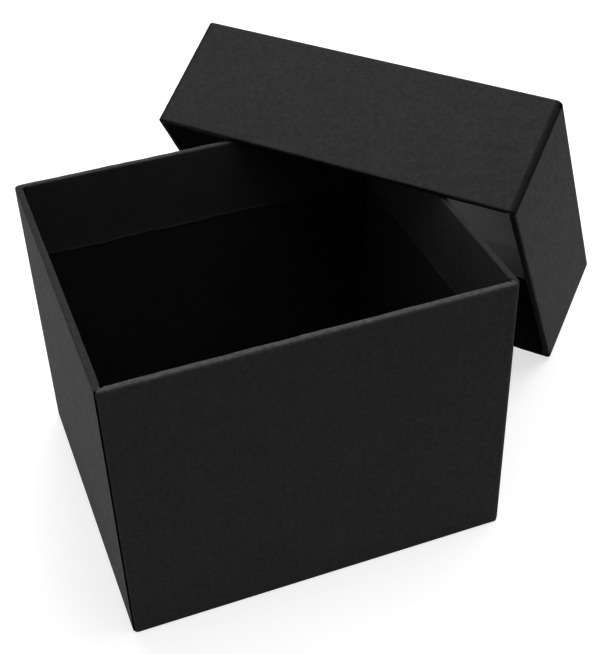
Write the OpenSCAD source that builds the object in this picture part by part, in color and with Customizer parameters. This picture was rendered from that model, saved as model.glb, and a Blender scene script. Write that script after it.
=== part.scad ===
// Rigid set-up box: a paper-covered tray with a lift-off lid leaned over its back right corner.
// Each shell is five panels of board glued edge to edge, held at the upright corners by strips
// of stay paper, lined inside and covered by one sheet of textured wrap paper.
// Origin at the middle of the tray's underside, +Z up, the tray's front towards -Y.

/* [Tray] */
// Outside width of the tray, left to right
tray_w = 180; // [150:1:260]
// Outside depth of the tray, front to back
tray_d = 158; // [150:1:240]
// Outside height of the tray
tray_h = 142; // [90:1:150]
// Depth that the wrap turns in over the tray's rim
tray_turn_in = 40; // [15:1:60]
// Outside radius of the tray's upright corners
tray_corner_r = 2.4; // [0.6:0.1:3]
// Width of the corner flap that shows beside each upright seam of the tray
tray_seam_w = 0.6; // [0.3:0.1:4]

/* [Lid] */
// Outside height of the lid
lid_h = 60; // [46:1:80]
// Clearance on each side between the closed lid and the tray
lid_fit = 1.1; // [0.5:0.1:2.5]
// Depth that the wrap turns in over the lid's rim
lid_turn_in = 40; // [15:1:56]
// Outside radius of the lid's upright corners
lid_corner_r = 3; // [0.6:0.1:3]
// Width of the corner flap that shows beside each upright seam of the lid
lid_seam_w = 0.6; // [0.3:0.1:4]

/* [Board and papers] */
// Thickness of the board
board_t = 2.5; // [1.8:0.1:3]
// Thickness of the wrap paper
wrap_t = 0.2; // [0.14:0.01:0.3]
// Thickness of the lining paper
liner_t = 0.12; // [0.08:0.01:0.2]
// Thickness of the corner stay paper
stay_t = 0.12; // [0.08:0.01:0.2]
// Width of a stay strip before it is folded round its corner
stay_w = 22; // [12:1:30]
// Thickness of each film of glue
glue_t = 0.04; // [0.02:0.01:0.06]

/* [Folds and cuts] */
// Outside radius along the rims and the panel folds
edge_r = 0.9; // [0.7:0.1:1.3]
// Side of the mitre notch cut in the turn-in at each corner
notch_w = 2.2; // [1:0.1:3]
// Step between a wrap panel's cut edge and the corner flap under it
seam_step = 0.1; // [0.06:0.01:0.12]

/* [Leaning lid] */
// Turn of the leaning lid about the vertical
lid_yaw = -49.7; // [-54:0.1:-42]
// Distance that the lid's upper rim reaches in over the tray's corner
lid_reach = 59.3; // [45:0.1:66]
// Shift of the lid along its own length from the tray's corner
lid_shift = 5.8; // [0:0.1:15]
// Gap left where the lid rests on the tray's rims and on the table
rest_gap = 0.3; // [0.2:0.05:0.4]

/* [Hidden] */
$fn = 64;
past = 1; // how far a cutter runs past the face that it opens

wrap_colour = [0.13, 0.13, 0.14];
tray_liner_colour = [0.06, 0.06, 0.065];
lid_liner_colour = [0.66, 0.66, 0.67];
board_colour = [0.30, 0.29, 0.28];
stay_colour = [0.16, 0.15, 0.14];

// The layers of a wall, from the outside in: wrap, stay, board, liner, turn-in
stand_off = stay_t + 2 * glue_t;
board_in = wrap_t + stand_off;
liner_in = board_in + board_t + glue_t;
turn_in_at = liner_in + liner_t + glue_t;
wall_t = turn_in_at + wrap_t;
board_z = wrap_t + glue_t;
panel_t = board_z + board_t + glue_t + liner_t;

// The lid clears the tray all round when it is closed
lid_w = tray_w + 2 * (lid_fit + wall_t);
lid_d = tray_d + 2 * (lid_fit + wall_t);
tray = [tray_w, tray_d, tray_h];
lid = [lid_w, lid_d, lid_h];

// The lid leans with its upper rim across two rims of the tray and its lower rim on the table,
// as far in as chosen or until the tray's corner would meet the lid's panel
lean = asin(tray_h / (lid_d - wall_t));
reach = min(lid_reach, (lid_h - panel_t - rest_gap) / sin(lean));
foot_out = lid_d * cos(lean) - reach;
foot_z = rest_gap - edge_r * (sin(lean) + cos(lean) - 1);

// Flat rectangle with round corners, centred
module rounded_rect(size, r) {
    square([size.x - 2 * r, size.y], center = true);
    square([size.x, size.y - 2 * r], center = true);
    for (sx = [-1, 1], sy = [-1, 1])
        translate([sx * (size.x / 2 - r), sy * (size.y / 2 - r)]) circle(r);
}

// Block standing on z = 0 with round upright corners and round edges top and bottom
module soft_block(size, side_r, fold_r) {
    intersection() {
        linear_extrude(size.z) rounded_rect([size.x, size.y], side_r);
        translate([0, size.y / 2, size.z / 2]) rotate([90, 0, 0])
            linear_extrude(size.y) rounded_rect([size.x, size.z], fold_r);
        translate([-size.x / 2, 0, size.z / 2]) rotate([90, 0, 90])
            linear_extrude(size.x) rounded_rect([size.y, size.z], fold_r);
    }
}

// Cutter for an open shell's inside, from low to its rim, which it leaves with a round inner edge
module hollow(w, d, low, rim, lip_r) {
    translate([-w / 2, -d / 2, low]) cube([w, d, rim - low + past]);
    difference() {
        translate([-w / 2 - lip_r, -d / 2 - lip_r, rim - lip_r])
            cube([w + 2 * lip_r, d + 2 * lip_r, lip_r + past]);
        for (side = [-1, 1]) {
            translate([0, side * (d / 2 + lip_r), rim - lip_r]) rotate([0, 90, 0])
                cylinder(r = lip_r, h = w + 4 * lip_r, center = true);
            translate([side * (w / 2 + lip_r), 0, rim - lip_r]) rotate([90, 0, 0])
                cylinder(r = lip_r, h = d + 4 * lip_r, center = true);
        }
    }
}

// The five boards of an open shell as one block, with the edges that the wrap folds over made round
module carcass(shell, corner_r) {
    w = shell.x - 2 * board_in;
    d = shell.y - 2 * board_in;
    h = shell.z - 2 * board_z;
    translate([0, 0, board_z]) difference() {
        soft_block([w, d, h], corner_r - board_in, edge_r - board_in);
        hollow(w - 2 * board_t, d - 2 * board_t, board_t, h, edge_r - (wall_t - board_in - board_t));
    }
}

// Front (side -1) or back (side 1) wall board, the full width of the shell
module long_wall_board(shell, corner_r, side) {
    color(board_colour) intersection() {
        carcass(shell, corner_r);
        translate([0, side * (shell.y / 2 - board_in), shell.z / 2])
            cube([shell.x, 2 * board_t, shell.z], center = true);
    }
}

// Left (side -1) or right (side 1) wall board, glued between the long ones
module end_wall_board(shell, corner_r, side) {
    color(board_colour) intersection() {
        carcass(shell, corner_r);
        translate([side * (shell.x / 2 - board_in), 0, shell.z / 2])
            cube([2 * board_t, shell.y - 2 * (board_in + board_t + glue_t), shell.z], center = true);
    }
}

// Panel board, glued in between the four walls
module panel_board(shell) {
    w = shell.x - 2 * (board_in + board_t + glue_t);
    d = shell.y - 2 * (board_in + board_t + glue_t);
    color(board_colour) translate([-w / 2, -d / 2, board_z]) cube([w, d, board_t]);
}

// One sheet of wrap paper: panel, four walls, and a turn-in over the rim that is notched at the corners
module wrap(shell, corner_r, turn_in, seam_w) {
    inner = [shell.x - 2 * wrap_t, shell.y - 2 * wrap_t, shell.z - 2 * wrap_t];
    color(wrap_colour) difference() {
        soft_block(shell, corner_r, edge_r);
        difference() {
            translate([0, 0, wrap_t]) soft_block(inner, corner_r - wrap_t, edge_r - wrap_t);
            hollow(shell.x - 2 * turn_in_at, shell.y - 2 * turn_in_at,
                shell.z - turn_in, shell.z - wrap_t, edge_r - wrap_t);
        }
        hollow(shell.x - 2 * wall_t, shell.y - 2 * wall_t, shell.z - turn_in - past, shell.z, edge_r);
        for (sx = [-1, 1], sy = [-1, 1]) {
            translate([sx * (shell.x / 2 - wall_t), sy * (shell.y / 2 - wall_t), shell.z - turn_in - past])
                rotate(45) linear_extrude(turn_in + 2 * past) square(notch_w, center = true);
            translate([sx * shell.x / 2, sy * (shell.y / 2 - corner_r - seam_w / 2), shell.z / 2])
                cube([2 * seam_step, seam_w, shell.z + past], center = true);
        }
    }
}

// Lining paper pasted over the board's inside, up to the rim's turn
module liner(shell, colour) {
    w = shell.x - 2 * liner_in;
    d = shell.y - 2 * liner_in;
    floor_z = board_z + board_t + glue_t;
    color(colour) difference() {
        translate([-w / 2, -d / 2, floor_z]) cube([w, d, shell.z - edge_r - floor_z]);
        translate([-w / 2 + liner_t, -d / 2 + liner_t, floor_z + liner_t])
            cube([w - 2 * liner_t, d - 2 * liner_t, shell.z]);
    }
}

// Strip of stay paper folded round one upright corner of the board
module stay(shell, corner_r, sx, sy) {
    outer_in = wrap_t + glue_t;
    inner_in = outer_in + stay_t;
    leg = stay_w / 2;
    color(stay_colour) intersection() {
        translate([0, 0, edge_r]) linear_extrude(shell.z - 2 * edge_r) difference() {
            rounded_rect([shell.x - 2 * outer_in, shell.y - 2 * outer_in], corner_r - outer_in);
            rounded_rect([shell.x - 2 * inner_in, shell.y - 2 * inner_in], corner_r - inner_in);
        }
        translate([sx * shell.x / 2, sy * shell.y / 2, shell.z / 2])
            cube([2 * leg, 2 * leg, shell.z], center = true);
    }
}

// Turns a shell open side down and leans it over the tray's back right corner
module leaning() {
    translate([tray_w / 2, tray_d / 2, foot_z])
        rotate([0, 0, lid_yaw]) translate([lid_shift, foot_out, 0])
        rotate([-lean, 0, 0]) translate([0, -lid_d / 2, lid_h])
        rotate([180, 0, 0]) children();
}

module tray_base_board() { panel_board(tray); }
module tray_long_wall_board(side) { long_wall_board(tray, tray_corner_r, side); }
module tray_end_wall_board(side) { end_wall_board(tray, tray_corner_r, side); }
module tray_wrap() { wrap(tray, tray_corner_r, tray_turn_in, tray_seam_w); }
module tray_liner() { liner(tray, tray_liner_colour); }
module tray_stay(sx, sy) { stay(tray, tray_corner_r, sx, sy); }
module lid_top_board() { leaning() panel_board(lid); }
module lid_long_wall_board(side) { leaning() long_wall_board(lid, lid_corner_r, -side); }
module lid_end_wall_board(side) { leaning() end_wall_board(lid, lid_corner_r, side); }
module lid_wrap() { leaning() wrap(lid, lid_corner_r, lid_turn_in, lid_seam_w); }
module lid_liner() { leaning() liner(lid, lid_liner_colour); }
module lid_stay(sx, sy) { leaning() stay(lid, lid_corner_r, sx, -sy); }

tray_base_board();
tray_long_wall_board(-1);  // tray_front_board
tray_long_wall_board(1);  // tray_back_board
tray_end_wall_board(-1);  // tray_left_board
tray_end_wall_board(1);  // tray_right_board
tray_wrap();
tray_liner();
tray_stay(-1, -1);  // tray_stay_front_left
tray_stay(1, -1);  // tray_stay_front_right
tray_stay(-1, 1);  // tray_stay_back_left
tray_stay(1, 1);  // tray_stay_back_right
lid_top_board();
lid_long_wall_board(-1);  // lid_front_board
lid_long_wall_board(1);  // lid_back_board
lid_end_wall_board(-1);  // lid_left_board
lid_end_wall_board(1);  // lid_right_board
lid_wrap();
lid_liner();
lid_stay(-1, -1);  // lid_stay_front_left
lid_stay(1, -1);  // lid_stay_front_right
lid_stay(-1, 1);  // lid_stay_back_left
lid_stay(1, 1);  // lid_stay_back_right
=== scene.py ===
"""Looks of a rigid set-up box, an open paper-covered tray and its loose lid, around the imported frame."""

import logging
import math
from dataclasses import dataclass, field
from enum import Enum, IntEnum
from typing import Sequence, Union

import bmesh
import bpy
from mathutils import Matrix, Vector


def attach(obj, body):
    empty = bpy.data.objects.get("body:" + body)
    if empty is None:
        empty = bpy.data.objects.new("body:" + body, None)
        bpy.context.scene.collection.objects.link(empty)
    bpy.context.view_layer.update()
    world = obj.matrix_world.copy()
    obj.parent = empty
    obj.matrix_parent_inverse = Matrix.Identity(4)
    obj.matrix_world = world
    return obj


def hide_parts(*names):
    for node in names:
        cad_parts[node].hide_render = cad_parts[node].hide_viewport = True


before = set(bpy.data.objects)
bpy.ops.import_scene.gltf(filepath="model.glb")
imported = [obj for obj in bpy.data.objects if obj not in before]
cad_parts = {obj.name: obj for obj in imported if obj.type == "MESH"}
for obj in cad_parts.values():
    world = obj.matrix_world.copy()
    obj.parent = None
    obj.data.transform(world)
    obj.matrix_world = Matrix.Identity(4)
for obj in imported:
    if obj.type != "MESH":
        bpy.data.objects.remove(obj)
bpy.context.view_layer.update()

LOG = logging.getLogger("set_up_box")
MM = 0.001

Place = tuple[float, float, float]
Colour = tuple[float, float, float]
Source = Union[bpy.types.NodeSocket, float, tuple]


class Body(Enum):
    """The rigid bodies that pieces ride on."""

    TRAY = "tray"
    LID = "lid"


class PaintedShadeRims(Enum):
    """Which of a shell's rims get the dull, dark copy of the paper as painted shade."""

    NONE = "none"
    ENDS = "ends"
    ALL = "all"


class SheetPart(IntEnum):
    """The material slots of a wrap sheet."""

    PAPER = 0
    SEAM = 1
    SHADED = 2


class MixKind(Enum):
    """What a Mix node mixes: its data type, then the numbers of its two inputs and of its result."""

    VALUE = ("FLOAT", 2, 3, 0)
    COLOUR = ("RGBA", 6, 7, 2)


def deselect_all() -> None:
    """Leaves nothing selected, so that the next operator acts on its own piece alone."""
    bpy.ops.object.select_all(action="DESELECT")


def make_active(obj: bpy.types.Object) -> None:
    """Selects one object and makes it the active one.

    Args:
        obj: The object.
    """
    deselect_all()
    obj.select_set(True)
    bpy.context.view_layer.objects.active = obj


def apply_modifiers(obj: bpy.types.Object) -> None:
    """Applies every modifier of an object, in order.

    Args:
        obj: The object.
    """
    make_active(obj)
    for name in [modifier.name for modifier in obj.modifiers]:
        bpy.ops.object.modifier_apply(modifier=name)


def feed(tree: bpy.types.NodeTree, source: Source, socket: bpy.types.NodeSocket) -> None:
    """Links an output into a socket, or sets a plain value on it.

    Args:
        tree: The nodes' tree.
        source: The output or the value.
        socket: The input that takes it.
    """
    if isinstance(source, bpy.types.NodeSocket):
        tree.links.new(source, socket)
    else:
        socket.default_value = source


def compute(tree: bpy.types.NodeTree, operation: str, *sources: Source) -> bpy.types.NodeSocket:
    """Adds a Math node.

    Args:
        tree: The tree to add to.
        operation: What the node does.
        sources: Its inputs, in order.

    Returns:
        The result.
    """
    node = tree.nodes.new("ShaderNodeMath")
    node.operation = operation
    for source, socket in zip(sources, node.inputs):
        feed(tree, source, socket)
    return node.outputs[0]


def mix(tree: bpy.types.NodeTree, kind: MixKind, factor: Source, first: Source, second: Source,
        blend: str = "MIX") -> bpy.types.NodeSocket:
    """Adds a Mix node.

    Args:
        tree: The tree to add to.
        kind: What is mixed.
        factor: How much of the second one there is.
        first: The first input.
        second: The second input.
        blend: How colours are mixed.

    Returns:
        The mixture.
    """
    data_type, first_at, second_at, result_at = kind.value
    node = tree.nodes.new("ShaderNodeMix")
    node.data_type = data_type
    node.blend_type = blend
    feed(tree, factor, node.inputs["Factor"])
    feed(tree, first, node.inputs[first_at])
    feed(tree, second, node.inputs[second_at])
    return node.outputs[result_at]


def map_range(tree: bpy.types.NodeTree, value: bpy.types.NodeSocket, start: Sequence[float],
              end: Sequence[float], way: str = "LINEAR") -> bpy.types.NodeSocket:
    """Adds a Map Range node.

    Args:
        tree: The tree to add to.
        value: What is mapped.
        start: The lowest and highest value taken in.
        end: What these two become.
        way: How the values between them run.

    Returns:
        The mapped value.
    """
    node = tree.nodes.new("ShaderNodeMapRange")
    node.interpolation_type = way
    node.inputs["From Min"].default_value, node.inputs["From Max"].default_value = start
    node.inputs["To Min"].default_value, node.inputs["To Max"].default_value = end
    tree.links.new(value, node.inputs["Value"])
    return node.outputs["Result"]


@dataclass(frozen=True)
class Noise:
    """One noise pattern, its scale in waves to the metre."""

    scale: float
    detail: float
    roughness: float = 0.5
    distortion: float = 0.0

    def add(self, tree: bpy.types.NodeTree, place: bpy.types.NodeSocket) -> bpy.types.Node:
        """Adds the pattern to a tree.

        Args:
            tree: The tree to add to.
            place: The surface's coordinates.

        Returns:
            The noise node.
        """
        node = tree.nodes.new("ShaderNodeTexNoise")
        node.inputs["Scale"].default_value = self.scale
        node.inputs["Detail"].default_value = self.detail
        node.inputs["Roughness"].default_value = self.roughness
        node.inputs["Distortion"].default_value = self.distortion
        tree.links.new(place, node.inputs["Vector"])
        return node


WARP_NOISE = Noise(700, 2)
FIBRE_NOISE = Noise(1900, 4, roughness=0.65)
CRINKLE_NOISE = Noise(430, 3, roughness=0.55, distortion=0.6)
MOTTLE_NOISE = Noise(45, 5, roughness=0.6)
WARP_REACH = 0.7 * MM
CELL_SMOOTHNESS = 0.6
CRINKLE_SPAN = (0.3, 0.7)
SPECK_SCALE = 300.0
SPECK_RADIUS = 0.16
# Pale colour of rubbed paper and of the front rim's painted highlight
RUBBED_AND_HIGHLIGHT_COLOUR = (0.12, 0.12, 0.12, 1)
SPECK_COLOUR = (0.06, 0.06, 0.06, 1)
# Near black that painted shade runs towards
PAINTED_SHADE_COLOUR = (0.001, 0.001, 0.001, 1)


class NodeGroups:
    """Shader node groups that several finishes share, each built once."""

    @staticmethod
    def _new(name: str, inputs: dict[str, float], outputs: Sequence[str]
             ) -> tuple[bpy.types.NodeTree, bpy.types.Node, bpy.types.Node]:
        """Starts a group that takes coordinates and numbers and gives numbers.

        Args:
            name: The group's name.
            inputs: The numbers that it takes, with their first values.
            outputs: The names of the numbers that it gives.

        Returns:
            The group, its input node and its output node.
        """
        group = bpy.data.node_groups.new(name, "ShaderNodeTree")
        face = group.interface
        face.new_socket("Vector", in_out="INPUT", socket_type="NodeSocketVector")
        for label, value in inputs.items():
            face.new_socket(label, in_out="INPUT", socket_type="NodeSocketFloat").default_value = value
        for label in outputs:
            face.new_socket(label, in_out="OUTPUT", socket_type="NodeSocketFloat")
        return group, group.nodes.new("NodeGroupInput"), group.nodes.new("NodeGroupOutput")

    @staticmethod
    def tooth() -> bpy.types.NodeTree:
        """Builds or returns the embossed tooth of paper.

        Returns:
            The group, with inputs Scale and Blend and outputs Height, Crinkle and Mottle.
        """
        found = bpy.data.node_groups.get("paper_tooth")
        if found:
            return found
        group, start, end = NodeGroups._new(
            "paper_tooth", {"Scale": 900.0, "Blend": 0.6}, ("Height", "Crinkle", "Mottle"))
        nodes, links, place = group.nodes, group.links, start.outputs["Vector"]
        push = nodes.new("ShaderNodeVectorMath")
        push.operation = "MULTIPLY_ADD"
        push.inputs[1].default_value = (WARP_REACH,) * 3
        links.new(WARP_NOISE.add(group, place).outputs["Color"], push.inputs[0])
        links.new(place, push.inputs[2])
        cells = nodes.new("ShaderNodeTexVoronoi")
        cells.feature = "SMOOTH_F1"
        cells.inputs["Smoothness"].default_value = CELL_SMOOTHNESS
        links.new(push.outputs[0], cells.inputs["Vector"])
        links.new(start.outputs["Scale"], cells.inputs["Scale"])
        fibre = FIBRE_NOISE.add(group, place).outputs["Fac"]
        height = mix(group, MixKind.VALUE, start.outputs["Blend"], fibre, cells.outputs["Distance"])
        links.new(height, end.inputs["Height"])
        links.new(CRINKLE_NOISE.add(group, place).outputs["Fac"], end.inputs["Crinkle"])
        links.new(MOTTLE_NOISE.add(group, place).outputs["Fac"], end.inputs["Mottle"])
        return group

    @staticmethod
    def specks() -> bpy.types.NodeTree:
        """Builds or returns sparse pale specks of dust and fibre.

        Returns:
            The group, with inputs Scale and Amount and the output Mask.
        """
        found = bpy.data.node_groups.get("dust_specks")
        if found:
            return found
        group, start, end = NodeGroups._new("dust_specks", {"Scale": SPECK_SCALE, "Amount": 0.0}, ("Mask",))
        cells = group.nodes.new("ShaderNodeTexVoronoi")
        group.links.new(start.outputs["Vector"], cells.inputs["Vector"])
        group.links.new(start.outputs["Scale"], cells.inputs["Scale"])
        split = group.nodes.new("ShaderNodeSeparateColor")
        group.links.new(cells.outputs["Color"], split.inputs[0])
        dot = compute(group, "LESS_THAN", cells.outputs["Distance"], SPECK_RADIUS)
        few = compute(group, "LESS_THAN", split.outputs[0], start.outputs["Amount"])
        group.links.new(compute(group, "MULTIPLY", dot, few), end.inputs["Mask"])
        return group


@dataclass(frozen=True)
class PaperFinish:
    """A paper or board surface: colours, tooth, wear with painted highlight, painted shade and light, and
    specks, with heights in metres.
    """

    name: str
    dark: Colour
    light: Colour
    roughness: tuple[float, float]
    specular: float
    tooth_scale: float
    tooth_blend: float
    tooth_height: float
    crinkle_height: float = 0.0
    hollow_shade: float = 0.0
    wear_and_highlight: float = 0.0
    takes_painted_shade: bool = False
    speck_amount: float = 0.0

    def material(self) -> bpy.types.Material:
        """Builds or returns the finish as a material.

        Returns:
            The material.
        """
        found = bpy.data.materials.get(self.name)
        if found:
            return found
        material = bpy.data.materials.new(self.name)
        material.use_nodes = True
        tree = material.node_tree
        shader = tree.nodes["Principled BSDF"]
        shader.inputs["Specular IOR Level"].default_value = self.specular
        place = tree.nodes.new("ShaderNodeTexCoord").outputs["Object"]
        tooth = tree.nodes.new("ShaderNodeGroup")
        tooth.node_tree = NodeGroups.tooth()
        tooth.inputs["Scale"].default_value = self.tooth_scale
        tooth.inputs["Blend"].default_value = self.tooth_blend
        tree.links.new(place, tooth.inputs["Vector"])
        tree.links.new(self._shade(tree, tooth, place), shader.inputs["Base Color"])
        gloss = map_range(tree, tooth.outputs["Crinkle"], CRINKLE_SPAN, self.roughness[::-1])
        tree.links.new(gloss, shader.inputs["Roughness"])
        tree.links.new(self._relief(tree, tooth), shader.inputs["Normal"])
        return material

    def _shade(self, tree: bpy.types.NodeTree, tooth: bpy.types.Node,
               place: bpy.types.NodeSocket) -> bpy.types.NodeSocket:
        """Mottles the colour, then adds the painted shade and light of the emboss, the wear with painted
        highlight, the painted shade of corners and rims, and the specks that the finish has.

        Args:
            tree: The material's nodes.
            tooth: The paper's tooth.
            place: The surface's coordinates.

        Returns:
            The colour.
        """
        shade = mix(tree, MixKind.COLOUR, tooth.outputs["Mottle"], (*self.dark, 1), (*self.light, 1))
        # Painted shade in the emboss's hollows and painted light on its tops
        if self.hollow_shade:
            shade = self._shaded_in_hollows(tree, shade, tooth.outputs["Crinkle"])
        # Rubbing, with a painted highlight on the front rim
        if self.wear_and_highlight:
            shade = self._worn_and_highlit(tree, shade, tooth.outputs["Crinkle"])
        # Painted shade: the colour runs towards near black where the marked share is low
        if self.takes_painted_shade:
            painted_shade = self._attribute(tree, "painted_shade")
            shade = mix(tree, MixKind.COLOUR, painted_shade, PAINTED_SHADE_COLOUR, shade)
        if self.speck_amount:
            shade = self._specked(tree, shade, place)
        return shade

    def _relief(self, tree: bpy.types.NodeTree, tooth: bpy.types.Node) -> bpy.types.NodeSocket:
        """Raises the fine tooth and the wider crinkle of the emboss.

        Args:
            tree: The material's nodes.
            tooth: The paper's tooth.

        Returns:
            The bumped normal.
        """
        fine = compute(tree, "MULTIPLY", tooth.outputs["Height"], self.tooth_height)
        relief = compute(tree, "MULTIPLY_ADD", tooth.outputs["Crinkle"], self.crinkle_height, fine)
        bump = tree.nodes.new("ShaderNodeBump")
        bump.inputs["Distance"].default_value = 1.0
        bump.inputs["Strength"].default_value = 1.0
        tree.links.new(relief, bump.inputs["Height"])
        return bump.outputs["Normal"]

    @staticmethod
    def _attribute(tree: bpy.types.NodeTree, name: str) -> bpy.types.NodeSocket:
        """Reads a number that is written on the mesh.

        Args:
            tree: The material's nodes.
            name: The attribute's name.

        Returns:
            The number.
        """
        node = tree.nodes.new("ShaderNodeAttribute")
        node.attribute_name = name
        return node.outputs["Fac"]

    def _shaded_in_hollows(self, tree: bpy.types.NodeTree, shade: bpy.types.NodeSocket,
                 crinkle: bpy.types.NodeSocket) -> bpy.types.NodeSocket:
        """Paints shade into the hollows of the emboss and light onto its tops.

        Args:
            tree: The material's nodes.
            shade: The colour so far.
            crinkle: The emboss's height.

        Returns:
            The grained colour.
        """
        level = map_range(tree, crinkle, CRINKLE_SPAN, (1 - self.hollow_shade, 1 + self.hollow_shade))
        return mix(tree, MixKind.COLOUR, 1.0, shade, level, "MULTIPLY")

    def _worn_and_highlit(self, tree: bpy.types.NodeTree, shade: bpy.types.NodeSocket,
              crinkle: bpy.types.NodeSocket) -> bpy.types.NodeSocket:
        """Makes the colour paler on the marked places, most where the emboss stands proud: rubbing with a
        painted highlight on the front rim, rubbing on the turn-in's cut edge.

        Args:
            tree: The material's nodes.
            shade: The colour so far.
            crinkle: The emboss's height.

        Returns:
            The worn colour.
        """
        rub_and_highlight = compute(tree, "MULTIPLY", self._attribute(tree, "fold"), crinkle)
        level = compute(tree, "MULTIPLY", rub_and_highlight, self.wear_and_highlight)
        return mix(tree, MixKind.COLOUR, level, shade, RUBBED_AND_HIGHLIGHT_COLOUR)

    def _specked(self, tree: bpy.types.NodeTree, shade: bpy.types.NodeSocket,
                 place: bpy.types.NodeSocket) -> bpy.types.NodeSocket:
        """Scatters pale specks over the colour.

        Args:
            tree: The material's nodes.
            shade: The colour so far.
            place: The surface's coordinates.

        Returns:
            The specked colour.
        """
        specks = tree.nodes.new("ShaderNodeGroup")
        specks.node_tree = NodeGroups.specks()
        specks.inputs["Amount"].default_value = self.speck_amount
        tree.links.new(place, specks.inputs["Vector"])
        return mix(tree, MixKind.COLOUR, specks.outputs["Mask"], shade, SPECK_COLOUR)


WRAP_FINISH = PaperFinish(
    "embossed_wrap_paper", dark=(0.0161, 0.0161, 0.0172), light=(0.0246, 0.0246, 0.0263),
    roughness=(0.79, 0.98), specular=0.18, tooth_scale=900, tooth_blend=0.6, tooth_height=0.2 * MM,
    crinkle_height=0.14 * MM, hollow_shade=0.04, wear_and_highlight=1.0, takes_painted_shade=True)
# A dull, darker copy of the wrap paper, as painted shade on rims and the lid's corner band
PAINTED_SHADE_RIM_FINISH = PaperFinish(
    "painted_shade_rim_paper", dark=(0.02, 0.02, 0.0214), light=(0.03, 0.03, 0.032),
    roughness=(0.9, 1.0), specular=0.04, tooth_scale=900, tooth_blend=0.6, tooth_height=0.2 * MM,
    crinkle_height=0.25 * MM, hollow_shade=0.1, takes_painted_shade=True)
# Near-black painted shadow for the seam's crevice and the corner pits
SEAM_SHADOW_FINISH = PaperFinish(
    "seam_painted_shadow", dark=(0.0015, 0.0015, 0.0015), light=(0.003, 0.003, 0.003),
    roughness=(0.9, 1.0), specular=0.0, tooth_scale=1500, tooth_blend=0.3, tooth_height=0.02 * MM)
TRAY_LINER_FINISH = PaperFinish(
    "smooth_black_lining_paper", dark=(0.009, 0.009, 0.0094), light=(0.013, 0.013, 0.0136),
    roughness=(0.75, 0.9), specular=0.1, tooth_scale=1500, tooth_blend=0.3, tooth_height=0.02 * MM)
LID_LINER_FINISH = PaperFinish(
    "smooth_grey_lining_paper", dark=(0.48, 0.48, 0.49), light=(0.55, 0.55, 0.56),
    roughness=(0.75, 0.9), specular=0.12, tooth_scale=1500, tooth_blend=0.3, tooth_height=0.02 * MM)
BOARD_FINISH = PaperFinish(
    "dyed_core_board", dark=(0.035, 0.034, 0.033), light=(0.07, 0.068, 0.064),
    roughness=(0.8, 0.95), specular=0.2, tooth_scale=600, tooth_blend=0.3, tooth_height=0.05 * MM,
    speck_amount=0.05)
STAY_FINISH = PaperFinish(
    "gummed_stay_paper", dark=(0.018, 0.0165, 0.015), light=(0.028, 0.026, 0.023),
    roughness=(0.55, 0.75), specular=0.2, tooth_scale=1300, tooth_blend=0.2, tooth_height=0.03 * MM)
SHEET_FINISHES = {
    SheetPart.PAPER: WRAP_FINISH,
    SheetPart.SEAM: SEAM_SHADOW_FINISH,
    SheetPart.SHADED: PAINTED_SHADE_RIM_FINISH,
}


@dataclass(frozen=True)
class Layers:
    """The papers and the board that a wall is made of, in metres."""

    board: float = 2.5 * MM
    wrap: float = 0.2 * MM
    liner: float = 0.12 * MM
    stay: float = 0.12 * MM
    glue: float = 0.04 * MM

    @property
    def wall(self) -> float:
        """Thickness of a finished wall."""
        return 2 * self.wrap + self.stay + self.board + self.liner + 4 * self.glue


@dataclass(frozen=True)
class ShellSize:
    """Outside size of the tray or the lid, in metres."""

    width: float
    depth: float
    height: float
    corner_radius: float


LAYERS = Layers()
EDGE_RADIUS = 0.9 * MM
TRAY_SIZE = ShellSize(180 * MM, 158 * MM, 142 * MM, corner_radius=2.4 * MM)
# The closed lid clears the tray by 1.1 mm all round
LID_SIZE = ShellSize(188.8 * MM, 166.8 * MM, 60 * MM, corner_radius=3.0 * MM)


@dataclass(frozen=True)
class CornerPoint:
    """One point of a wrap's outline on an upright corner.

    The angle runs from the end wall, 0 degrees, to the long wall, 90. The lift is how far the paper
    stands off the rounding. A gap is part of the open seam between two cut edges.
    """

    angle: float
    lift: float
    # Faces at a gap are painted near-black, as the seam's shadow
    gap: bool = False


@dataclass(frozen=True)
class Spot:
    """One point of a wrap's whole outline: on a corner, or along an end wall or a long wall."""

    side_x: int
    side_y: int
    along: float = 0.0
    corner: CornerPoint | None = None


@dataclass(frozen=True)
class Level:
    """One ring of the folded sheet: its inset from the outside, its height and its share of the seam."""

    inset: float
    height: float
    seam: float
    rim: bool = False
    cut_edge: bool = False


@dataclass(frozen=True)
class PaintedShadeStop:
    """How much of the paper's colour shows at one place across an upright corner or a rim, the rest being
    painted shade.

    On a corner the run is the distance along the outline from where the end wall starts to round,
    towards the long wall. On a rim it is the distance in from the outside.
    """

    run: float
    share: float


def share_at(tones: Sequence[PaintedShadeStop], run: float) -> float:
    """Reads a row of tones at one place, even between its entries and past its ends.

    Args:
        tones: The row, in order.
        run: The place.

    Returns:
        The share of the paper's colour that shows there.
    """
    if run <= tones[0].run:
        return tones[0].share
    for low, high in zip(tones, tones[1:]):
        if run <= high.run:
            return low.share + (high.share - low.share) * (run - low.run) / (high.run - low.run)
    return tones[-1].share


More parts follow.
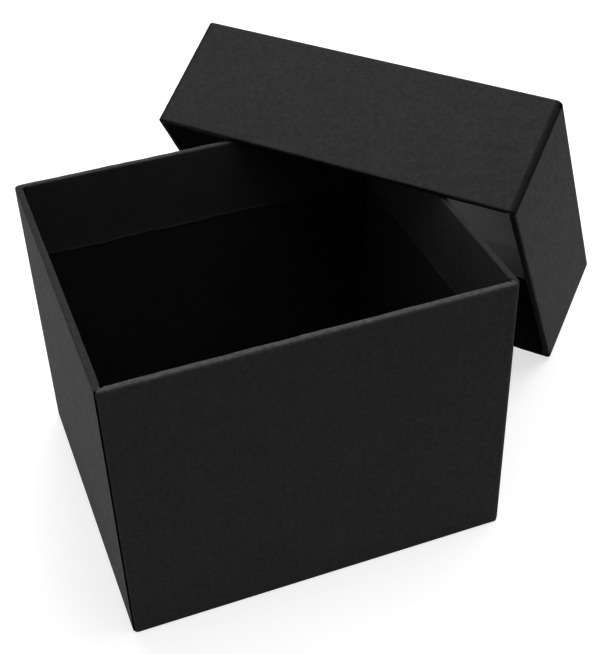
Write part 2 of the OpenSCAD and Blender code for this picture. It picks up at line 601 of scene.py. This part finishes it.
TRAY_CORNER = (
    CornerPoint(0, 0.0), CornerPoint(8, 0.04 * MM), CornerPoint(16, 0.1 * MM), CornerPoint(22, 0.16 * MM),
    CornerPoint(23.5, -0.2 * MM, gap=True), CornerPoint(30, -0.22 * MM, gap=True),
    CornerPoint(37, -0.22 * MM, gap=True), CornerPoint(44, -0.2 * MM, gap=True),
    CornerPoint(46, 0.02 * MM), CornerPoint(54, 0.03 * MM), CornerPoint(63, 0.02 * MM),
    CornerPoint(72, 0.01 * MM), CornerPoint(81, 0.0), CornerPoint(90, 0.0),
)
LID_CORNER = (
    CornerPoint(0, 0.0), CornerPoint(9, -0.02 * MM), CornerPoint(18, -0.06 * MM),
    CornerPoint(27, -0.08 * MM), CornerPoint(36, -0.08 * MM), CornerPoint(45, -0.06 * MM),
    CornerPoint(54, -0.05 * MM), CornerPoint(63, -0.04 * MM), CornerPoint(72, -0.03 * MM),
    CornerPoint(81, -0.01 * MM), CornerPoint(90, 0.0),
)
# Painted shade across the lid's upright corner band and in from its rims, as shares of the paper's colour
LID_CORNER_PAINTED_SHADE = (
    PaintedShadeStop(-0.9 * MM, 1.0), PaintedShadeStop(0.0, 0.85), PaintedShadeStop(0.4 * MM, 0.55), PaintedShadeStop(1.0 * MM, 0.34), PaintedShadeStop(1.8 * MM, 0.42),
    PaintedShadeStop(2.6 * MM, 0.52), PaintedShadeStop(3.6 * MM, 0.66), PaintedShadeStop(4.4 * MM, 0.85), PaintedShadeStop(5.0 * MM, 1.0),
)
LID_RIM_PAINTED_SHADE = (
    PaintedShadeStop(0.2 * MM, 1.0), PaintedShadeStop(0.7 * MM, 0.6), PaintedShadeStop(1.2 * MM, 0.36), PaintedShadeStop(2.2 * MM, 0.18),
    PaintedShadeStop(3.2 * MM, 0.04),
)

# Angles in degrees round an upright corner, and in radians round the rim's outer edge
CORNER_MIDDLE = 45
RIM_FROM = 0.7
# Shares of the upright seam: on the rim, lost for each radian round it, and on its flat top
RIM_SEAM = 0.9
RIM_SEAM_LOSS = 0.4
TOP_SEAM = 0.27
# Least share of the seam on a face of the open seam, and of the pit at a panel's corner
OPEN_SEAM = 0.3
PIT_SEAM = 0.2
# Places of the rings across the rim's flat top and down the turn-in, as shares
TOP_RINGS = (0.33, 0.66, 1.0)
TURN_IN_RINGS = (0.04, 0.2, 0.4, 0.6, 0.8, 0.96)
# Share and length of each wave in the turn-in's cut edge
EDGE_WAVES = ((1.0, 7 * MM), (0.7, 2.6 * MM))
# Name, length and share of each wave in the rim
RIM_WAVES = (("slow", 22 * MM, 1.0), ("quick", 4 * MM, 0.6))


@dataclass
class WrapSheet:
    """One sheet of wrap paper folded round a shell: panel, walls, rim and turn-in.

    The shell stands open side up on its panel, at the origin, until the pose moves it. Sizes are in
    metres and angles in degrees.
    """

    name: str
    node: str
    body: Body
    size: ShellSize
    corner: Sequence[CornerPoint]
    pose: Matrix = field(default_factory=lambda: Matrix.Identity(4))
    corner_painted_shade: Sequence[PaintedShadeStop] = ()
    rim_painted_shade: Sequence[PaintedShadeStop] = ()
    rim_painted_shade_depth: float = 1.0 * MM
    corner_pit: float = 0.0
    painted_shade_rims: PaintedShadeRims = PaintedShadeRims.NONE
    front_wear_and_highlight: float = 0.0
    front_wear_and_highlight_depth: float = 1.6 * MM
    cut_wear: float = 0.5
    cut_wear_depth: float = 1.2 * MM
    inside_from: float = 2.5 * MM
    turn_in: float = 40 * MM
    edge_radius: float = EDGE_RADIUS
    rim_inner: float = 0.7 * MM
    least_radius: float = 0.25 * MM
    edge_steps: int = 6
    cell: float = 2.0 * MM
    corner_steps: Sequence[float] = (0.5 * MM, 1.0 * MM)
    panel_inset: float = 8 * MM
    fold_land: float = 1 * MM
    wall_row: float = 5 * MM
    low_row: float = 1.2 * MM
    low_rows: int = 3
    notch: float = 2.2 * MM
    notch_spare: float = 4 * MM
    curl: float = 0.14 * MM
    waver: float = 0.22 * MM
    waver_depth: float = 6 * MM
    edge_wave: float = 0.3 * MM
    weld: float = 0.02 * MM
    smooth_angle: float = 35.0

    def build(self) -> bpy.types.Object:
        """Models the sheet and puts it in its place.

        Returns:
            The finished object, at the origin, with its place in its mesh.
        """
        obj = self._raise()
        self._waver_rim(obj)
        self._thicken(obj)
        self._notch_turn_in(obj)
        self._close_cut(obj)
        self._mark_wear_and_highlight(obj)
        self._mark_painted_shade(obj)
        self._place(obj)
        return obj

    def _spots(self) -> list[Spot]:
        """Lists the outline's points, counter-clockwise from the right wall's back end.

        Returns:
            The points.
        """
        corners = {(1, 1): 1, (-1, 1): -1, (-1, -1): 1, (1, -1): -1}
        spots: list[Spot] = []
        for (side_x, side_y), way in corners.items():
            spots += [Spot(side_x, side_y, corner=point) for point in tuple(self.corner)[::way]]
            length = (self.size.width if way > 0 else self.size.depth) - 2 * self.size.corner_radius
            count = round(length / self.cell)
            steps = [length * (step / count - 0.5) for step in range(1, count)]
            near = [length / 2 - gap for gap in self.corner_steps]
            steps = sorted(steps + near + [-step for step in near])
            if way > 0:
                spots += [Spot(0, side_y, along=-side_y * step) for step in steps]
            else:
                spots += [Spot(side_x, 0, along=side_x * step) for step in steps]
        return spots

    def _spot_place(self, spot: Spot, level: Level) -> Place:
        """Where one point of the outline lies on one ring.

        Args:
            spot: The point of the outline.
            level: The ring.

        Returns:
            The point's place in the shell's own frame.
        """
        size = self.size
        half_w, half_d = size.width / 2 - level.inset, size.depth / 2 - level.inset
        radius = max(size.corner_radius - level.inset, self.least_radius)
        height = level.height
        if level.cut_edge:
            height += self.edge_wave * sum(share * math.sin(spot.along / wave) for share, wave in EDGE_WAVES)
        if spot.corner:
            angle = math.radians(spot.corner.angle)
            reach = radius + spot.corner.lift * level.seam
            return (spot.side_x * (half_w - radius + reach * math.cos(angle)),
                    spot.side_y * (half_d - radius + reach * math.sin(angle)), height)
        if spot.side_x:
            share = (half_d - radius) / (size.depth / 2 - size.corner_radius)
            return (spot.side_x * half_w, spot.along * share, height)
        share = (half_w - radius) / (size.width / 2 - size.corner_radius)
        return (spot.along * share, spot.side_y * half_d, height)

    def _levels(self) -> list[Level]:
        """The fold of the sheet from the panel to the end of the turn-in.

        Returns:
            The rings, in order.
        """
        edge, inner, land = self.edge_radius, self.rim_inner, self.fold_land
        top, wall = self.size.height, LAYERS.wall
        arc = [math.pi / 2 * step / self.edge_steps for step in range(1, self.edge_steps + 1)]
        rings = [Level(inset, 0.0, 0.0) for inset in (self.panel_inset, edge + land, edge)]
        rings += [Level(edge * (1 - math.sin(a)), edge * (1 - math.cos(a)), a / math.pi) for a in arc]
        low, high = edge + land, top - edge - land
        rows = max(2, round((high - low) / self.wall_row))
        rings += [Level(0.0, low + self.low_row * step, 1.0) for step in range(self.low_rows)]
        rings += [Level(0.0, low + (high - low) * row / rows, 1.0) for row in range(1, rows + 1)]
        rings += [Level(0.0, top - edge, RIM_SEAM)]
        rings += [Level(edge * (1 - math.cos(a)), top - edge * (1 - math.sin(a)),
                        RIM_SEAM - RIM_SEAM_LOSS * a, a > RIM_FROM) for a in arc]
        flat = wall - edge - inner
        rings += [Level(edge + flat * share, top, TOP_SEAM * (1 - share), True) for share in TOP_RINGS]
        rings += [Level(wall - inner * (1 - math.sin(a)), top - inner * (1 - math.cos(a)), 0.0, True)
                  for a in arc]
        drop = self.turn_in - inner
        rings += [Level(wall, top - inner - drop * share, 0.0) for share in TURN_IN_RINGS]
        rings += [Level(wall + self.curl, top - self.turn_in, 0.0, cut_edge=True)]
        return rings

    def _raise(self) -> bpy.types.Object:
        """Extrudes the panel's outline ring by ring along the fold and leaves the end open.

        Returns:
            The sheet as a skin without thickness, with its parts in their material slots.
        """
        spots = self._spots()
        deselect_all()
        bpy.ops.mesh.primitive_circle_add(vertices=len(spots), radius=self.size.width / 2, fill_type="NGON")
        obj = bpy.context.object
        obj.name = self.name
        obj.data.name = self.name
        for part in SheetPart:
            obj.data.materials.append(SHEET_FINISHES[part].material())
        bpy.ops.object.mode_set(mode="EDIT")
        bpy.ops.mesh.select_mode(type="FACE")
        bpy.ops.mesh.select_all(action="SELECT")
        mesh = bmesh.from_edit_mesh(obj.data)
        for label in ("spot", "ring"):
            mesh.verts.layers.int.new(label)
        layer = mesh.verts.layers.int["spot"]
        for index, vertex in enumerate(mesh.verts):
            vertex[layer] = index
        rings = self._levels()
        self._settle(obj, spots, rings, 0)
        for ring in range(1, len(rings)):
            bpy.ops.mesh.extrude_region()
            self._settle(obj, spots, rings, ring)
        bpy.ops.mesh.delete(type="ONLY_FACE")
        self._sort_faces(obj, spots, rings)
        bpy.ops.mesh.select_all(action="SELECT")
        bpy.ops.mesh.normals_make_consistent(inside=False)
        bpy.ops.object.mode_set(mode="OBJECT")
        return obj

    def _settle(self, obj: bpy.types.Object, spots: Sequence[Spot], rings: Sequence[Level],
                ring: int) -> None:
        """Moves the newest ring of vertices, which is selected, to its place.

        Args:
            obj: The sheet, in edit mode.
            spots: The outline's points.
            rings: All rings.
            ring: The number of the newest one.
        """
        mesh = bmesh.from_edit_mesh(obj.data)
        spot_layer, ring_layer = (mesh.verts.layers.int[label] for label in ("spot", "ring"))
        for vertex in mesh.verts:
            if vertex.select:
                vertex.co = self._spot_place(spots[vertex[spot_layer]], rings[ring])
                vertex[ring_layer] = ring
        bmesh.update_edit_mesh(obj.data)

    def _sort_faces(self, obj: bpy.types.Object, spots: Sequence[Spot], rings: Sequence[Level]) -> None:
        """Gives open seams and pits their near-black painted shadow, faces with painted shade their slot,
        and drops the helper numbers.

        Args:
            obj: The sheet, in edit mode.
            spots: The outline's points.
            rings: All rings.
        """
        mesh = bmesh.from_edit_mesh(obj.data)
        spot_layer, ring_layer = (mesh.verts.layers.int[label] for label in ("spot", "ring"))
        for face in mesh.faces:
            here = [spots[vertex[spot_layer]] for vertex in face.verts]
            levels = [rings[vertex[ring_layer]] for vertex in face.verts]
            # The open seam and the corner pit are painted near-black as their shadow; other dull faces get
            # painted shade
            if self._in_seam(here, levels) or self._in_pit(here, levels):
                face.material_index = SheetPart.SEAM
            elif self._has_painted_shade(here, levels):
                face.material_index = SheetPart.SHADED
        for label in ("spot", "ring"):
            mesh.verts.layers.int.remove(mesh.verts.layers.int[label])
        bmesh.update_edit_mesh(obj.data)

    @staticmethod
    def _on_walls(levels: Sequence[Level]) -> bool:
        """Whether a face lies on the walls or the rim's outer edge, where the upright seam shows."""
        return all(level.seam > OPEN_SEAM for level in levels)

    def _in_seam(self, spots: Sequence[Spot], levels: Sequence[Level]) -> bool:
        """Whether a face lies in the open seam of an upright corner."""
        return self._on_walls(levels) and any(spot.corner is not None and spot.corner.gap for spot in spots)

    def _in_pit(self, spots: Sequence[Spot], levels: Sequence[Level]) -> bool:
        """Whether a face lies at the small pit where the folds meet at the panel's corner, painted
        near-black as its shadow.
        """
        low = all(level.seam > PIT_SEAM and level.height < self.corner_pit for level in levels)
        return low and all(spot.corner is not None and spot.corner.angle <= CORNER_MIDDLE for spot in spots)

    def _has_painted_shade(self, spots: Sequence[Spot], levels: Sequence[Level]) -> bool:
        """Whether a face gets the dull, dark painted-shade copy of the paper, on a rim or an upright corner
        with painted shade.

        Args:
            spots: The face's points of the outline.
            levels: The face's rings.

        Returns:
            True on such a face.
        """
        if self.corner_painted_shade and self._on_walls(levels) and all(spot.corner for spot in spots):
            return True
        on_end = all(
            spot.side_x and (spot.corner is None or spot.corner.angle <= CORNER_MIDDLE) for spot in spots)
        shaded = self.painted_shade_rims is PaintedShadeRims.ALL or (self.painted_shade_rims is PaintedShadeRims.ENDS and on_end)
        return shaded and all(level.rim for level in levels)

    def _waver_rim(self, obj: bpy.types.Object) -> None:
        """Lets the rim and the top of the turn-in wander a little, as hand-turned paper does.

        Args:
            obj: The skin.
        """
        rim = obj.vertex_groups.new(name="rim")
        for vertex in obj.data.vertices:
            near = 1 - min(1.0, abs(self.size.height - vertex.co.z) / self.waver_depth)
            if near > 0:
                rim.add([vertex.index], near, "REPLACE")
        for label, length, share in RIM_WAVES:
            texture = bpy.data.textures.new(f"{self.name}_{label}", type="CLOUDS")
            texture.noise_scale = length
            texture.noise_depth = 1
            displace = obj.modifiers.new(label, "DISPLACE")
            displace.texture = texture
            displace.texture_coords = "LOCAL"
            displace.direction = "NORMAL"
            displace.vertex_group = rim.name
            displace.strength = 2 * self.waver * share
            displace.mid_level = 0.5
        apply_modifiers(obj)
        obj.vertex_groups.clear()

    def _thicken(self, obj: bpy.types.Object) -> None:
        """Gives the skin the paper's thickness, inwards.

        Args:
            obj: The skin.
        """
        solidify = obj.modifiers.new("thickness", "SOLIDIFY")
        solidify.thickness = LAYERS.wrap
        solidify.offset = -1
        apply_modifiers(obj)

    def _notch_cutter(self) -> bpy.types.Object:
        """Makes a block turned on edge at each inner corner of the turn-in.

        Returns:
            The four blocks as one object.
        """
        deselect_all()
        cutters = []
        for side_x in (-1, 1):
            for side_y in (-1, 1):
                bpy.ops.mesh.primitive_cube_add(size=1, location=(
                    side_x * (self.size.width / 2 - LAYERS.wall),
                    side_y * (self.size.depth / 2 - LAYERS.wall),
                    self.size.height - self.turn_in / 2), rotation=(0, 0, math.pi / 4))
                bpy.context.object.scale = (self.notch, self.notch, self.turn_in + self.notch_spare)
                cutters.append(bpy.context.object)
        deselect_all()
        for cutter in cutters:
            cutter.select_set(True)
        bpy.context.view_layer.objects.active = cutters[0]
        bpy.ops.object.join()
        bpy.ops.object.transform_apply(location=True, rotation=True, scale=True)
        return bpy.context.object

    def _notch_turn_in(self, obj: bpy.types.Object) -> None:
        """Cuts the mitre notch at each inner corner of the turn-in.

        Args:
            obj: The thickened sheet.
        """
        cutter = self._notch_cutter()
        cut = obj.modifiers.new("notch", "BOOLEAN")
        cut.operation = "DIFFERENCE"
        cut.solver = "EXACT"
        cut.object = cutter
        apply_modifiers(obj)
        bpy.data.objects.remove(cutter)

    def _close_cut(self, obj: bpy.types.Object) -> None:
        """Splits the many-sided faces beside the notches and welds the cut, so that the sheet is closed.

        Args:
            obj: The notched sheet.
        """
        make_active(obj)
        bpy.ops.object.mode_set(mode="EDIT")
        bpy.ops.mesh.select_mode(type="FACE")
        bpy.ops.mesh.select_all(action="DESELECT")
        bpy.ops.mesh.select_face_by_sides(number=4, type="GREATER")
        bpy.ops.mesh.quads_convert_to_tris()
        bpy.ops.mesh.select_all(action="SELECT")
        bpy.ops.mesh.remove_doubles(threshold=self.weld)
        bpy.ops.mesh.dissolve_degenerate(threshold=self.weld)
        bpy.ops.object.mode_set(mode="OBJECT")

    def _mark_wear_and_highlight(self, obj: bpy.types.Object) -> None:
        """Writes how far each point of the front rim is rubbed and given painted highlight, and how far the
        turn-in's cut edge is rubbed.

        Args:
            obj: The finished sheet, before it is placed.
        """
        half_w, half_d, top = self.size.width / 2, self.size.depth / 2, self.size.height
        values = []
        for vertex in obj.data.vertices:
            x, y, z = vertex.co
            near = max(0.0, 1 - (top - z) / self.front_wear_and_highlight_depth)
            on_front = half_d + y < half_w - abs(x)
            inside = max(abs(x) - half_w, abs(y) - half_d) < -self.inside_from
            at_cut = max(0.0, 1 - abs(top - self.turn_in - z) / self.cut_wear_depth)
            values.append(near * self.front_wear_and_highlight if on_front and near else self.cut_wear * at_cut * inside)
        # The fold attribute holds wear, and on the front rim a painted highlight too
        attribute = obj.data.attributes.new("fold", "FLOAT", "POINT")
        attribute.data.foreach_set("value", values)

    def _corner_run(self, place: Vector) -> float | None:
        """How far a point lies along the outline from where the nearest end wall starts to round.

        Args:
            place: The point, in the shell's own frame.

        Returns:
            The distance towards the long wall, or None off the outside of the walls.
        """
        radius = self.size.corner_radius
        over_x = abs(place.x) - (self.size.width / 2 - radius)
        over_y = abs(place.y) - (self.size.depth / 2 - radius)
        if over_x > 0 and over_y > 0:
            return radius * math.atan2(over_y, over_x)
        if over_x > 0:
            return over_y
        if over_y > 0:
            return radius * math.pi / 2 - over_x
        return None

    def _mark_painted_shade(self, obj: bpy.types.Object) -> None:
        """Writes how much of the paper's colour shows at each point, less where shade is painted on corners
        and rims.

        Args:
            obj: The finished sheet, before it is placed.
        """
        half_w, half_d = self.size.width / 2, self.size.depth / 2
        values = []
        for vertex in obj.data.vertices:
            run, share = self._corner_run(vertex.co), 1.0
            if self.corner_painted_shade and run is not None:
                share = share_at(self.corner_painted_shade, run)
            if self.rim_painted_shade and self.size.height - vertex.co.z < self.rim_painted_shade_depth:
                inset = min(half_w - abs(vertex.co.x), half_d - abs(vertex.co.y))
                share = min(share, share_at(self.rim_painted_shade, inset))
            values.append(share)
        attribute = obj.data.attributes.new("painted_shade", "FLOAT", "POINT")
        attribute.data.foreach_set("value", values)

    def _place(self, obj: bpy.types.Object) -> None:
        """Smooths the folds, moves the mesh to its place and joins it to its body.

        Args:
            obj: The finished sheet.
        """
        make_active(obj)
        bpy.ops.object.shade_smooth_by_angle(angle=math.radians(self.smooth_angle))
        obj.matrix_world = self.pose
        bpy.ops.object.transform_apply(location=True, rotation=True, scale=True)
        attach(obj, self.body.value)
        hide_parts(self.node)


@dataclass(frozen=True)
class LidLean:
    """How the loose lid leans over the tray's back right corner, in metres and degrees."""

    tray: ShellSize = TRAY_SIZE
    lid: ShellSize = LID_SIZE
    yaw: float = -49.7
    reach: float = 59.3 * MM
    shift: float = 5.8 * MM
    rest_gap: float = 0.3 * MM

    def matrix(self) -> Matrix:
        """The lid's place: from open side up on its panel to leaning on the tray.

        Returns:
            The transform of the lid's own mesh.
        """
        lean = math.asin(self.tray.height / (self.lid.depth - LAYERS.wall))
        out = self.lid.depth * math.cos(lean) - self.reach
        foot = self.rest_gap - EDGE_RADIUS * (math.sin(lean) + math.cos(lean) - 1)
        return (
            Matrix.Translation((self.tray.width / 2, self.tray.depth / 2, foot))
            @ Matrix.Rotation(math.radians(self.yaw), 4, "Z")
            @ Matrix.Translation((self.shift, out, 0))
            @ Matrix.Rotation(-lean, 4, "X")
            @ Matrix.Translation((0, -self.lid.depth / 2, self.lid.height))
            @ Matrix.Rotation(math.pi, 4, "X")
        )


@dataclass(frozen=True)
class Lamp:
    """A soft square light, aimed near the middle of the tray."""

    name: str
    place: Place
    size: float
    watts: float
    aim: Place = (0.0, 0.0, 0.08)

    def add(self) -> None:
        """Adds the light to the scene."""
        data = bpy.data.lights.new(self.name, "AREA")
        data.shape = "SQUARE"
        data.size = self.size
        data.energy = self.watts
        lamp = bpy.data.objects.new(self.name, data)
        bpy.context.scene.collection.objects.link(lamp)
        lamp.location = self.place
        lamp.rotation_euler = (Vector(self.aim) - Vector(self.place)).to_track_quat("-Z", "Y").to_euler()


@dataclass
class Studio:
    """The pale floor, the soft lights and the camera at the photograph's angle."""

    camera_place: Vector = field(default_factory=lambda: Vector((-0.1371, -0.4469, 0.4597)))
    camera_forward: Vector = field(default_factory=lambda: Vector((0.260292, 0.737378, -0.623315)))
    camera_right: Vector = field(default_factory=lambda: Vector((0.935185, -0.353113, -0.027204)))
    lens: float = 70.831
    sensor: float = 36.0
    floor_size: float = 12.0
    floor_colour: float = 0.5
    floor_roughness: float = 0.9
    floor_seen: float = 0.68
    floor_fade: tuple[float, float] = (0.5, 2.0)
    lamps: Sequence[Lamp] = (
        Lamp("top_softbox", (0.0, 0.1, 1.8), 1.6, 14.0),
        Lamp("top_front_softbox", (0.0, -0.5, 1.75), 1.2, 4.8),
        Lamp("top_right_softbox", (0.7, 0.1, 1.65), 1.2, 14.0),
        Lamp("back_softbox", (0.2, 1.9, 0.9), 1.4, 37.0),
        Lamp("left_softbox", (-1.85, 0.1, 0.38), 0.7, 2.8),
    )

    def build(self) -> None:
        """Adds the floor, the world, the lights and the camera."""
        self._floor()
        self._world()
        for lamp in self.lamps:
            lamp.add()
        self._camera()
        bpy.context.scene.view_settings.view_transform = "Standard"

    @staticmethod
    def _seen_directly(tree: bpy.types.NodeTree) -> bpy.types.NodeSocket:
        """Marks the rays that show the background: from the camera, off gloss or through glass.

        Args:
            tree: The tree to add to.

        Returns:
            The mask.
        """
        path = tree.nodes.new("ShaderNodeLightPath").outputs
        plain = compute(tree, "MAXIMUM", path["Is Camera Ray"], path["Is Glossy Ray"])
        return compute(tree, "MAXIMUM", plain, path["Is Transmission Ray"])

    def _floor(self) -> None:
        """Adds the floor, white to the camera except where the box shades it."""
        deselect_all()
        bpy.ops.mesh.primitive_plane_add(size=self.floor_size, location=(0, 0, 0))
        floor = bpy.context.object
        floor.name = "floor"
        material = bpy.data.materials.new("white_floor")
        material.use_nodes = True
        tree = material.node_tree
        shader = tree.nodes["Principled BSDF"]
        shader.inputs["Base Color"].default_value = (self.floor_colour,) * 3 + (1,)
        shader.inputs["Roughness"].default_value = self.floor_roughness
        shader.inputs["Specular IOR Level"].default_value = 0.0
        shader.inputs["Emission Color"].default_value = (1, 1, 1, 1)
        away = tree.nodes.new("ShaderNodeVectorMath")
        away.operation = "LENGTH"
        tree.links.new(tree.nodes.new("ShaderNodeTexCoord").outputs["Object"], away.inputs[0])
        seen = map_range(tree, away.outputs["Value"], self.floor_fade, (self.floor_seen, 1.0), "SMOOTHSTEP")
        level = compute(tree, "MULTIPLY", self._seen_directly(tree), seen)
        tree.links.new(level, shader.inputs["Emission Strength"])
        floor.data.materials.append(material)

    def _world(self) -> None:
        """Sets a world that gives no light and is seen as white behind the floor."""
        world = bpy.data.worlds.new("studio")
        bpy.context.scene.world = world
        world.use_nodes = True
        tree = world.node_tree
        back = tree.nodes["Background"]
        back.inputs["Color"].default_value = (1, 1, 1, 1)
        tree.links.new(self._seen_directly(tree), back.inputs["Strength"])

    def _camera(self) -> None:
        """Adds the camera where the photograph was taken from."""
        data = bpy.data.cameras.new("photo_camera")
        data.lens = self.lens
        data.sensor_width = self.sensor
        camera = bpy.data.objects.new("photo_camera", data)
        bpy.context.scene.collection.objects.link(camera)
        forward = self.camera_forward.normalized()
        up = self.camera_right.cross(forward).normalized()
        right = forward.cross(up).normalized()
        turn = Matrix((right, up, -forward)).transposed()
        camera.matrix_world = Matrix.Translation(self.camera_place) @ turn.to_4x4()
        bpy.context.scene.camera = camera


@dataclass
class SetUpBox:
    """The whole box: both wrap sheets and the finishes of every carried-over node."""

    tray_wrap: WrapSheet
    lid_wrap: WrapSheet

    def build(self) -> None:
        """Models the wrap sheets and dresses all that shows."""
        for sheet in (self.tray_wrap, self.lid_wrap):
            obj = sheet.build()
            LOG.info("%s: %d faces", obj.name, len(obj.data.polygons))
        self._dress_nodes()

    def _dress_nodes(self) -> None:
        """Gives each carried-over node the finish of its kind."""
        finishes = {"_wrap": WRAP_FINISH, "tray_liner": TRAY_LINER_FINISH, "lid_liner": LID_LINER_FINISH,
                    "_board": BOARD_FINISH, "_stay_": STAY_FINISH}
        for name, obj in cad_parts.items():
            finish = next(value for key, value in finishes.items() if key in name)
            obj.data.materials.clear()
            obj.data.materials.append(finish.material())
            LOG.info("%s: %s", name, finish.name)


def main() -> None:
    """Builds the studio and the box."""
    logging.basicConfig(level=logging.INFO, format="%(name)s %(message)s")
    Studio().build()
    SetUpBox(
        tray_wrap=WrapSheet(
            "tray_wrap_sheet", "tray_wrap", Body.TRAY, TRAY_SIZE, TRAY_CORNER,
            painted_shade_rims=PaintedShadeRims.ENDS, front_wear_and_highlight=0.5),
        lid_wrap=WrapSheet(
            "lid_wrap_sheet", "lid_wrap", Body.LID, LID_SIZE, LID_CORNER, pose=LidLean().matrix(),
            corner_painted_shade=LID_CORNER_PAINTED_SHADE, rim_painted_shade=LID_RIM_PAINTED_SHADE, corner_pit=3.6 * MM,
            painted_shade_rims=PaintedShadeRims.ALL),
    ).build()


if __name__ == "__main__":
    main()
